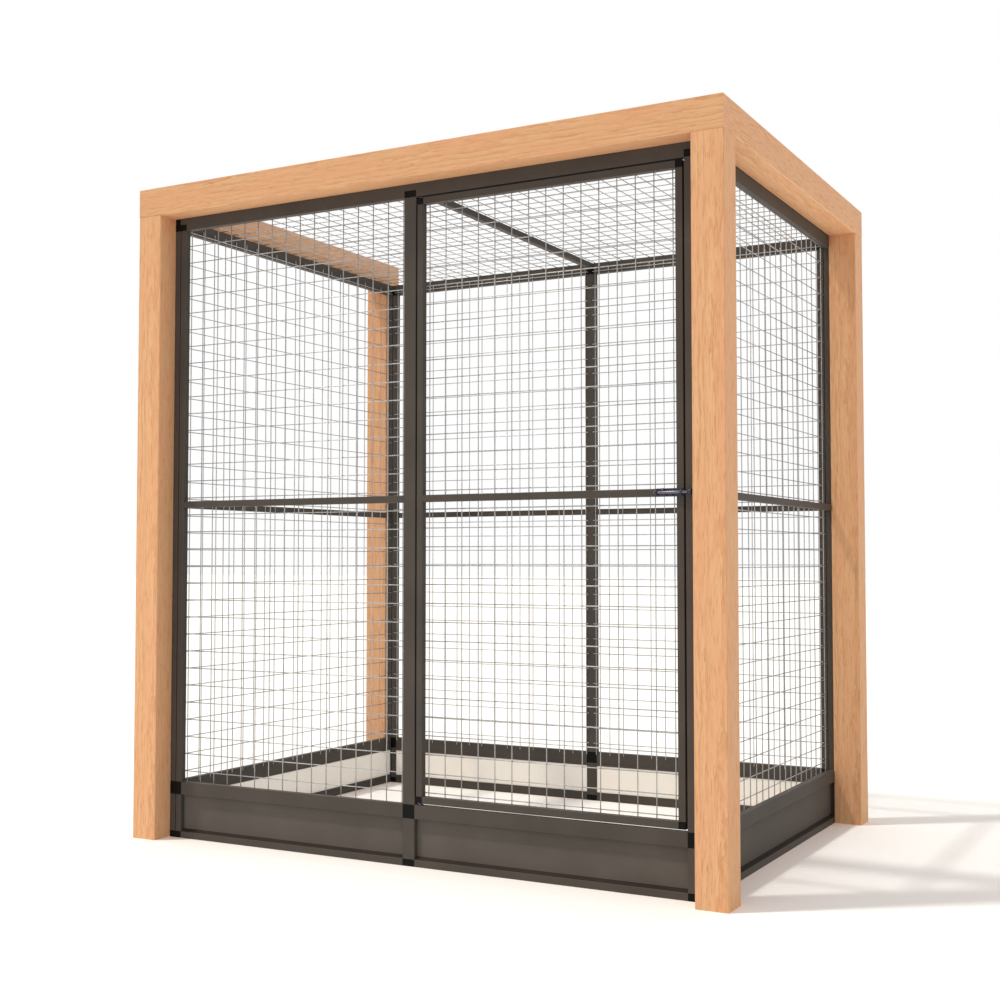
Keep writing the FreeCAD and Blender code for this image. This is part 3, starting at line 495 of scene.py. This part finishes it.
def make_meshes():
    """The welded sheets of the walls, the door and the roof, their wires where the photo has them."""
    head, roof = reach("top_rail_front", "z")
    tall = (reach("kick_rail_front_left", "z")[1] - LAP, head + 2 * LAP)
    left = lapped(*reach("kick_rail_front_left", "x"))
    right = lapped(*reach("kick_rail_front_right", "x"))
    front, back = reach("top_rail_front", "y")[1], reach("top_rail_back", "y")[0]
    wall_mesh("mesh_front_left", "frame", "x", front, 1, left, tall,
              first=-842.4, step=53.8, count=16, lowest=206, rows=33)
    wall_mesh("mesh_back_right", "frame", "x", back, -1, right, tall,
              first=19.5, step=54.0, count=16, lowest=207.5, rows=33)
    wall_mesh("mesh_back_left", "frame", "x", back, -1, left, tall,
              first=-843.5, step=54.9, count=16, lowest=207.5, rows=33)

    near, far = reach("mid_rails_side", "y")
    for name, sign, first in (("left", -1, -570), ("right", 1, -578.5)):
        face = sign * reach("top_rail_right", "x")[0]
        wall_mesh(f"mesh_{name}", "frame", "y", face, -sign, (near + SHORT, far - SHORT), tall,
                  first=first, step=55.2, count=22, lowest=203, rows=33)

    width = lapped(*reach("door_mid_rail", "x"))
    height = lapped(reach("door_bottom_rail", "z")[1], reach("door_top_rail", "z")[0])
    wall_mesh("door_mesh", "door", "x", front, 1, width, height,
              first=55.5, step=53.8, count=15, lowest=208.3, rows=32)

    near, far = reach("mesh_roof_right", "y")
    low, high = reach("mesh_roof_right", "x")
    first_across = -576
    for name, sign, first in (("left", -1, -845.5), ("right", 1, 16.5)):
        deep_at = (first, (near + far) / 2, roof + WIRE_RADIUS)
        wide_at = (sign * (low + high) / 2, first_across, roof + WIRE_RADIUS + WELD_DEPTH)
        wires = [
            wire_row("y", deep_at, far - near - 2 * SHORT, "x", step=WIRE_STEP, count=16),
            wire_row("x", wide_at, high - low - 2 * SHORT, "y", step=55.6, count=22),
        ]
        dress(joined(f"welded_mesh_roof_{name}", wires), "frame", "mesh", ZINC_WIRE, f"mesh_roof_{name}")


# ---- Kick boards, door edging and painted shade at the boards' foot ----

BOARD_ROUND = 0.6
# Dark wedges along the foot of the boards, with a low toe outside: painted shade where the boards meet
# the bottom rails
SHADE_WEDGE_DEPTH = 11
SHADE_WEDGE_HEIGHT = 8
SHADE_WEDGE_TOE = 1
SHADE_WEDGE_ROUND = 0.3
# Edging: thin strips in the gap round the door, set in from the faces of the tubes
EDGING_INSET = 2
DOOR_STRIP = 1
JAMB_STRIP = 0.8


def kick_board(low, high, inside):
    """A coated sheet board, cream on the face that looks into the run."""
    board = block(low, high, BOARD_ROUND)
    board.data.materials.append(COATED_SHEET)
    board.data.materials.append(CREAM_LACQUER)
    for face in board.data.polygons:
        facing = sum(a * b for a, b in zip(face.normal, inside))
        face.material_index = int(facing > 0.9)
    return board


def make_kick_boards():
    """Two boards in front, each its own piece, two at the back and one at each side."""
    bottom, top = reach("kick_board_front_left", "z")
    bays = {name: reach(f"kick_board_front_{name}", "x") for name in ("left", "right")}
    near, far = reach("kick_board_front_left", "y")
    for name, (start, end) in bays.items():
        node = f"kick_board_front_{name}"
        board = kick_board((start, near, bottom), (end, far, top), (0, 1, 0))
        dress(joined(f"coated_{node}", [board]), "frame", "board", COATED_SHEET, node)
    near, far = reach("kick_boards_back", "y")
    backs = [
        kick_board((start, near, bottom), (end, far, top), (0, -1, 0)) for start, end in bays.values()
    ]
    dress(joined("coated_kick_boards_back", backs), "frame", "board", COATED_SHEET, "kick_boards_back")
    low, high = reach("kick_boards_side", "y")
    outer = reach("kick_boards_side", "x")[1]
    inner = outer - (far - near)
    sides = [
        kick_board((inner, low, bottom), (outer, high, top), (-1, 0, 0)),
        kick_board((-outer, low, bottom), (-inner, high, top), (1, 0, 0)),
    ]
    dress(joined("coated_kick_boards_side", sides), "frame", "board", COATED_SHEET, "kick_boards_side")


def shade_wedge(low, high, axis, toe):
    """A wedge strip as high as its block at the board, sloped to a low toe at its outer side."""
    strip = block(low, high)
    index = "xyz".index(axis)
    top = high[2]

    def outer_top(*ends):
        return all(abs(end.z - top * MM) < ON_PLANE and abs(end[index] - toe * MM) < ON_PLANE
                   for end in ends)

    drop = (top - low[2] - SHADE_WEDGE_TOE) * MM
    edit_edges(strip, outer_top, lambda: bpy.ops.transform.translate(value=(0, 0, -drop)))
    return softened(strip, SHADE_WEDGE_ROUND)


def make_painted_shade_wedges():
    """Dark wedges on the bottom rails, outside the kick boards, that paint the shade where the boards
    meet the rails.
    """
    low = reach("bottom_rails", "z")[1]
    high = low + SHADE_WEDGE_HEIGHT
    front, back = reach("kick_board_front_left", "y")[0], reach("kick_boards_back", "y")[1]
    front_toe, back_toe = front - SHADE_WEDGE_DEPTH, back + SHADE_WEDGE_DEPTH
    strips = []
    for bay in ("left", "right"):
        start, end = reach(f"kick_board_front_{bay}", "x")
        strips.append(shade_wedge((start, front_toe, low), (end, front, high), "y", front_toe))
        strips.append(shade_wedge((start, back, low), (end, back_toe, high), "y", back_toe))
    side = reach("kick_boards_side", "x")[1]
    toe = side + SHADE_WEDGE_DEPTH
    near, far = reach("kick_boards_side", "y")
    strips.append(shade_wedge((side, near, low), (toe, far, high), "x", toe))
    strips.append(shade_wedge((-toe, near, low), (-side, far, high), "x", -toe))
    # The wedges' dark finish is painted shade at the foot of the boards
    dress(joined("kick_board_painted_shade_wedges", strips), "frame", "bush", DARK_STRIP_AND_SHADE_FINISH)


def make_edging():
    """Dark strips in the gap round the door: on its latch edge, and on the jamb and head."""
    near, far = reach("door_latch_stile", "y")
    near, far = near + EDGING_INSET, far - EDGING_INSET
    hinge, latch = reach("door_hinge_stile", "x")[1], reach("door_latch_stile", "x")[1]
    jamb, head = reach("mullion_front", "x")[1], reach("mullion_front", "z")[1]
    low, high = reach("door_latch_stile", "z")
    latch_strip = block((latch, near, low), (latch + DOOR_STRIP, far, high), round_by=0.3)
    jamb_strip = block((jamb, near, low), (jamb + JAMB_STRIP, far, high), round_by=0.25)
    head_strip = block((hinge, near, head - DOOR_STRIP), (latch, far, head), round_by=0.3)
    dress(joined("door_edging", [latch_strip]), "door", "bush", DARK_STRIP_AND_SHADE_FINISH)
    dress(joined("opening_edging", [jamb_strip, head_strip]), "frame", "bush", DARK_STRIP_AND_SHADE_FINISH)


# ---- Slide bolt ----

PLATE_THICKNESS = 2
PLATE_CORNER = 3
STEEL_ROUND = 0.35
# Guides of the plate: width along the rod, half height, and the radius over their outer edges
GUIDE_WIDTH = 6
GUIDE_HALF = 6.5
GUIDE_CROWN = 5.5
# Rod, its room in the guides, and its knob on a stem, measured from the rod's tip
ROD_RADIUS = 4
ROD_ROOM = 0.15
TURNED_SIDES = 32
KNOB_FROM_TIP = 69
KNOB_RADIUS = 3.6
KNOB_HEIGHT = 6.8
STEM_RADIUS = 2.4
STEM_LENGTH = 6
# Staple of the keeper: gap to the tip of the drawn-back rod, width, half height, the radius over its
# outer edges and half of its square way, which is cut a little past its sides
STAPLE_FROM_TIP = 1.5
STAPLE_WIDTH = 10
STAPLE_HALF = 7
STAPLE_CROWN = 5
STAPLE_WAY = 4.5
OVERCUT = 3
# Screws of the plate and of the keeper, in pairs above and below the rod
LATCH_SCREW_RADIUS = 3
LATCH_SCREW_OUT = 6


def latch_sheet(node):
    """The flat sheet of the plate or keeper, the depth of its face and that of its outermost point."""
    start, end = reach(node, "x")
    low, high = reach(node, "z")
    outer, seat = reach(node, "y")
    face = seat - PLATE_THICKNESS
    sheet = rounded_edges(block((start, face, low), (end, seat, high)), "y", PLATE_CORNER, segments=4)
    return softened(sheet, STEEL_ROUND), face, outer


def latch_arch(low, high, crown, way):
    """An arch that stands on a sheet, crowned over its outer edges, with the rod's way cut through."""
    arch = rounded_edges(block(low, high), "x", crown, segments=6, plane=("y", low[1]))
    return softened(cut_out(arch, way), STEEL_ROUND)


def make_latch():
    """The slide bolt: rounded plate with two guides, turned rod with its knob, keeper and screws."""
    level = sum(reach("latch_plate", "z")) / 2
    depth = sum(reach("latch_bolt", "y")) / 2
    sheet, face, outer = latch_sheet("latch_plate")
    start, end = reach("latch_plate", "x")
    guides = []
    for left in (start, end - GUIDE_WIDTH):
        middle, right = left + GUIDE_WIDTH / 2, left + GUIDE_WIDTH
        way = bar("x", (middle, depth, level), 2 * GUIDE_WIDTH, ROD_RADIUS + ROD_ROOM, TURNED_SIDES)
        low, high = (left, outer, level - GUIDE_HALF), (right, face, level + GUIDE_HALF)
        guides.append(latch_arch(low, high, GUIDE_CROWN, way))
    dress(joined("rounded_latch_plate", [sheet, *guides]), "door", "latch", BLACK_STEEL, "latch_plate")

    start, tip = reach("latch_bolt", "x")
    top = reach("latch_bolt", "z")[1]
    knob_at = tip - KNOB_FROM_TIP
    turned = [
        bar("x", ((start + tip) / 2, depth, level), tip - start, ROD_RADIUS, TURNED_SIDES, round_by=0.9),
        bar("z", (knob_at, depth, level + ROD_RADIUS), STEM_LENGTH, STEM_RADIUS, round_by=0.2),
        bar("z", (knob_at, depth, top - KNOB_HEIGHT / 2), KNOB_HEIGHT, KNOB_RADIUS, TURNED_SIDES,
            round_by=2.2),
    ]
    dress(joined("turned_latch_bolt", turned), "bolt", "latch", GUNMETAL, "latch_bolt")

    sheet, face, outer = latch_sheet("latch_keeper")
    left = tip + STAPLE_FROM_TIP
    right = left + STAPLE_WIDTH
    way = block((left - OVERCUT, depth - STAPLE_WAY, level - STAPLE_WAY),
                (right + OVERCUT, depth + STAPLE_WAY, level + STAPLE_WAY))
    low, high = (left, outer, level - STAPLE_HALF), (right, face, level + STAPLE_HALF)
    staple = latch_arch(low, high, STAPLE_CROWN, way)
    dress(joined("folded_latch_keeper", [sheet, staple]), "frame", "latch", BLACK_STEEL, "latch_keeper")

    to_front = (math.pi / 2, 0, 0)
    for node, body in (("latch_screws", "door"), ("keeper_screws", "frame")):
        low, high = reach(node, "x")
        columns = sorted({round(low + LATCH_SCREW_RADIUS, 1), round(high - LATCH_SCREW_RADIUS, 1)})
        spots = [(x, face, level + side * LATCH_SCREW_OUT) for x in columns for side in (-1, 1)]
        head = screw_head(LATCH_SCREW_RADIUS, height=1.4, stub=3, round_by=0.6)
        heads = copies(head, spots, [to_front] * len(spots))
        dress(joined(f"cross_head_{node}", heads), body, "screw", BLACK_STEEL, node)


# ---- Screws in the timber, and moulded blocks ----

# Upright screws sit this far from each end of the uprights, and beam screws this far from the middle
# of a post, on its diagonal, with their heads sunk flush
UPRIGHT_SCREW_IN = 250
BEAM_SCREW_OUT = 20
BEAM_SCREW_HEIGHT = 5
# Blocks whose mould leaves a small round; their faces are merged first, within this distance
MOULDED_BLOCKS = ("top_connectors", "kick_connectors", "foot_connectors", "door_corner_blocks")
MOULD_ROUND = 0.6
MERGE_WITHIN = 0.01


def make_timber_screws():
    """Heads of the screws from the uprights into the posts, and of those sunk in the beams' tops."""
    seat = reach("upright_front_right", "x")[0]
    low, high = reach("upright_front_right", "z")
    spots = []
    turns = []
    for face in ("front", "back"):
        depth = sum(reach(f"upright_{face}_right", "y")) / 2
        for sign in (-1, 1):
            for level in (low + UPRIGHT_SCREW_IN, high - UPRIGHT_SCREW_IN):
                spots.append((sign * seat, depth, level))
                turns.append((0, -sign * math.pi / 2, 0))
    heads = copies(screw_head(radius=4.5, height=2.4, stub=12, round_by=1.0), spots, turns)
    dress(joined("cross_head_upright_screws", heads), "frame", "screw", COATED_SCREW, "upright_screws")

    seat = reach("beam_screws", "z")[1] - BEAM_SCREW_HEIGHT
    spots = []
    for face in ("front", "back"):
        x, y = (sum(reach(f"post_{face}_right", axis)) / 2 for axis in "xy")
        for out in (-BEAM_SCREW_OUT, BEAM_SCREW_OUT):
            spots += [(sign * (x + out), y + out, seat) for sign in (-1, 1)]
    head = screw_head(radius=8, height=BEAM_SCREW_HEIGHT, stub=20, round_by=0.6)
    heads = copies(head, spots, [(0, 0, 0)] * len(spots))
    dress(joined("sunk_beam_screws", heads), "frame", "screw", COATED_SCREW, "beam_screws")


def soften_mouldings():
    """A small round on the edges of the moulded blocks, once the faces of each are one skin."""
    for name in MOULDED_BLOCKS:
        skin = NODES[name].modifiers.new("one_skin", "WELD")
        skin.merge_threshold = MERGE_WITHIN * MM
        soft = NODES[name].modifiers.new("soft_edges", "BEVEL")
        soft.width = MOULD_ROUND * MM
        soft.segments = 2
        soft.limit_method = "ANGLE"
        soft.angle_limit = math.radians(40)
        soft.harden_normals = True


# ---- Camera, light and floor ----

# The photo's camera in metres and degrees, found from the straight edges of the frame
CAMERA_AT = (2.1540, -4.0144, 0.8741)
CAMERA_YAW = 28.696
CAMERA_PITCH = 2.468
LENS = 49.986
SENSOR = 36
# Way of the sunlight: for each 1 to the right it goes this much back and down
SUN_BACK = 0.745
SUN_DOWN = 2.35
# Strength of the white surround as light on the run; where it is seen itself, it is 1
AMBIENT = 0.73
# The floor lies just under the feet
FLOOR_SIDE = 120
FLOOR_LEVEL = -0.0005


def set_camera():
    """The camera at the photo's place and angle."""
    camera = bpy.data.objects.new("camera", bpy.data.cameras.new("camera"))
    camera.data.lens = LENS
    camera.data.sensor_width = SENSOR
    camera.location = CAMERA_AT
    camera.rotation_euler = (math.radians(90 + CAMERA_PITCH), 0, math.radians(CAMERA_YAW))
    bpy.context.scene.collection.objects.link(camera)
    bpy.context.scene.camera = camera


def add_light(name, kind, turn, place=(0, 0, 0), **settings):
    """A light of one kind, its data set, turned and put in its place."""
    light = bpy.data.objects.new(name, bpy.data.lights.new(name, kind))
    for key, value in settings.items():
        setattr(light.data, key, value)
    light.rotation_euler = turn
    light.location = place
    bpy.context.scene.collection.objects.link(light)
    return light


def set_lights():
    """A slightly warm sun over the left shoulder, broad light thrown back up from pale ground, and a
    soft panel low in front that the camera doesn't see."""
    tilt = math.atan2(math.hypot(1, SUN_BACK), SUN_DOWN)
    add_light("key", "SUN", (tilt, 0, -math.atan2(1, SUN_BACK)),
              energy=2.0, angle=math.radians(4), color=linear("#FFF4E6")[:3])
    add_light("fill", "SUN", (math.pi, 0, 0), energy=2.3, angle=math.radians(80))
    low = add_light("low", "AREA", (math.radians(90), 0, math.radians(-18)), (-0.7, -2.5, 0.2),
                    energy=7.0, size=2.0)
    low.visible_camera = False


def background_rays(tree):
    """1 for the rays that show the background: seen by the camera, mirrored or through glass."""
    path = add_node(tree, "ShaderNodeLightPath", {}, {})
    seen = path.outputs["Is Camera Ray"]
    for kind in ("Is Glossy Ray", "Is Transmission Ray"):
        seen = add_node(tree, "ShaderNodeMath", {"operation": "MAXIMUM"}, {
            0: seen, 1: path.outputs[kind],
        }).outputs[0]
    return seen


def set_surround():
    """A white surround that lights the run evenly."""
    world = bpy.data.worlds.new("studio")
    bpy.context.scene.world = world
    world.use_nodes = True
    tree = world.node_tree
    tree.nodes.clear()
    strength = add_node(tree, "ShaderNodeMapRange", {
        "To Min": AMBIENT, "To Max": 1.0,
    }, {"Value": background_rays(tree)})
    sky = add_node(tree, "ShaderNodeBackground", {
        "Color": (1, 1, 1, 1),
    }, {"Strength": strength.outputs[0]})
    add_node(tree, "ShaderNodeOutputWorld", {}, {"Surface": sky.outputs[0]})


def set_floor():
    """A plain floor, white where the sun reaches it and warm grey in the run's shadow: it throws back
    a plain grey, looks paler and cooler where it is seen, and has a faint warm glow there."""
    bpy.ops.object.select_all(action="DESELECT")
    bpy.ops.mesh.primitive_plane_add(size=FLOOR_SIDE, location=(0, 0, FLOOR_LEVEL))
    floor = bpy.context.active_object
    floor.name = "floor"
    paper = bpy.data.materials.new("white_floor")
    paper.use_nodes = True
    tree = paper.node_tree
    tree.nodes.clear()
    seen = background_rays(tree)
    tone = add_node(tree, "ShaderNodeMix", {
        "data_type": "RGBA", UNDER: linear("#CCCBCA"), OVER: linear("#ECF5F8"),
    }, {SHARE: seen})
    matt = add_node(tree, "ShaderNodeBsdfDiffuse", {}, {"Color": tone.outputs[MIXED]})
    glow = add_node(tree, "ShaderNodeEmission", {"Color": linear("#653C17")}, {"Strength": seen})
    both = add_node(tree, "ShaderNodeAddShader", {}, {0: matt.outputs[0], 1: glow.outputs[0]})
    add_node(tree, "ShaderNodeOutputMaterial", {}, {"Surface": both.outputs[0]})
    floor.data.materials.append(paper)
    # The light from below passes through
    floor.visible_shadow = False


paint_solids()
make_meshes()
make_kick_boards()
make_painted_shade_wedges()
make_edging()
make_latch()
make_timber_screws()
soften_mouldings()
bpy.context.scene.view_settings.view_transform = "Standard"
set_camera()
set_lights()
set_surround()
set_floor()
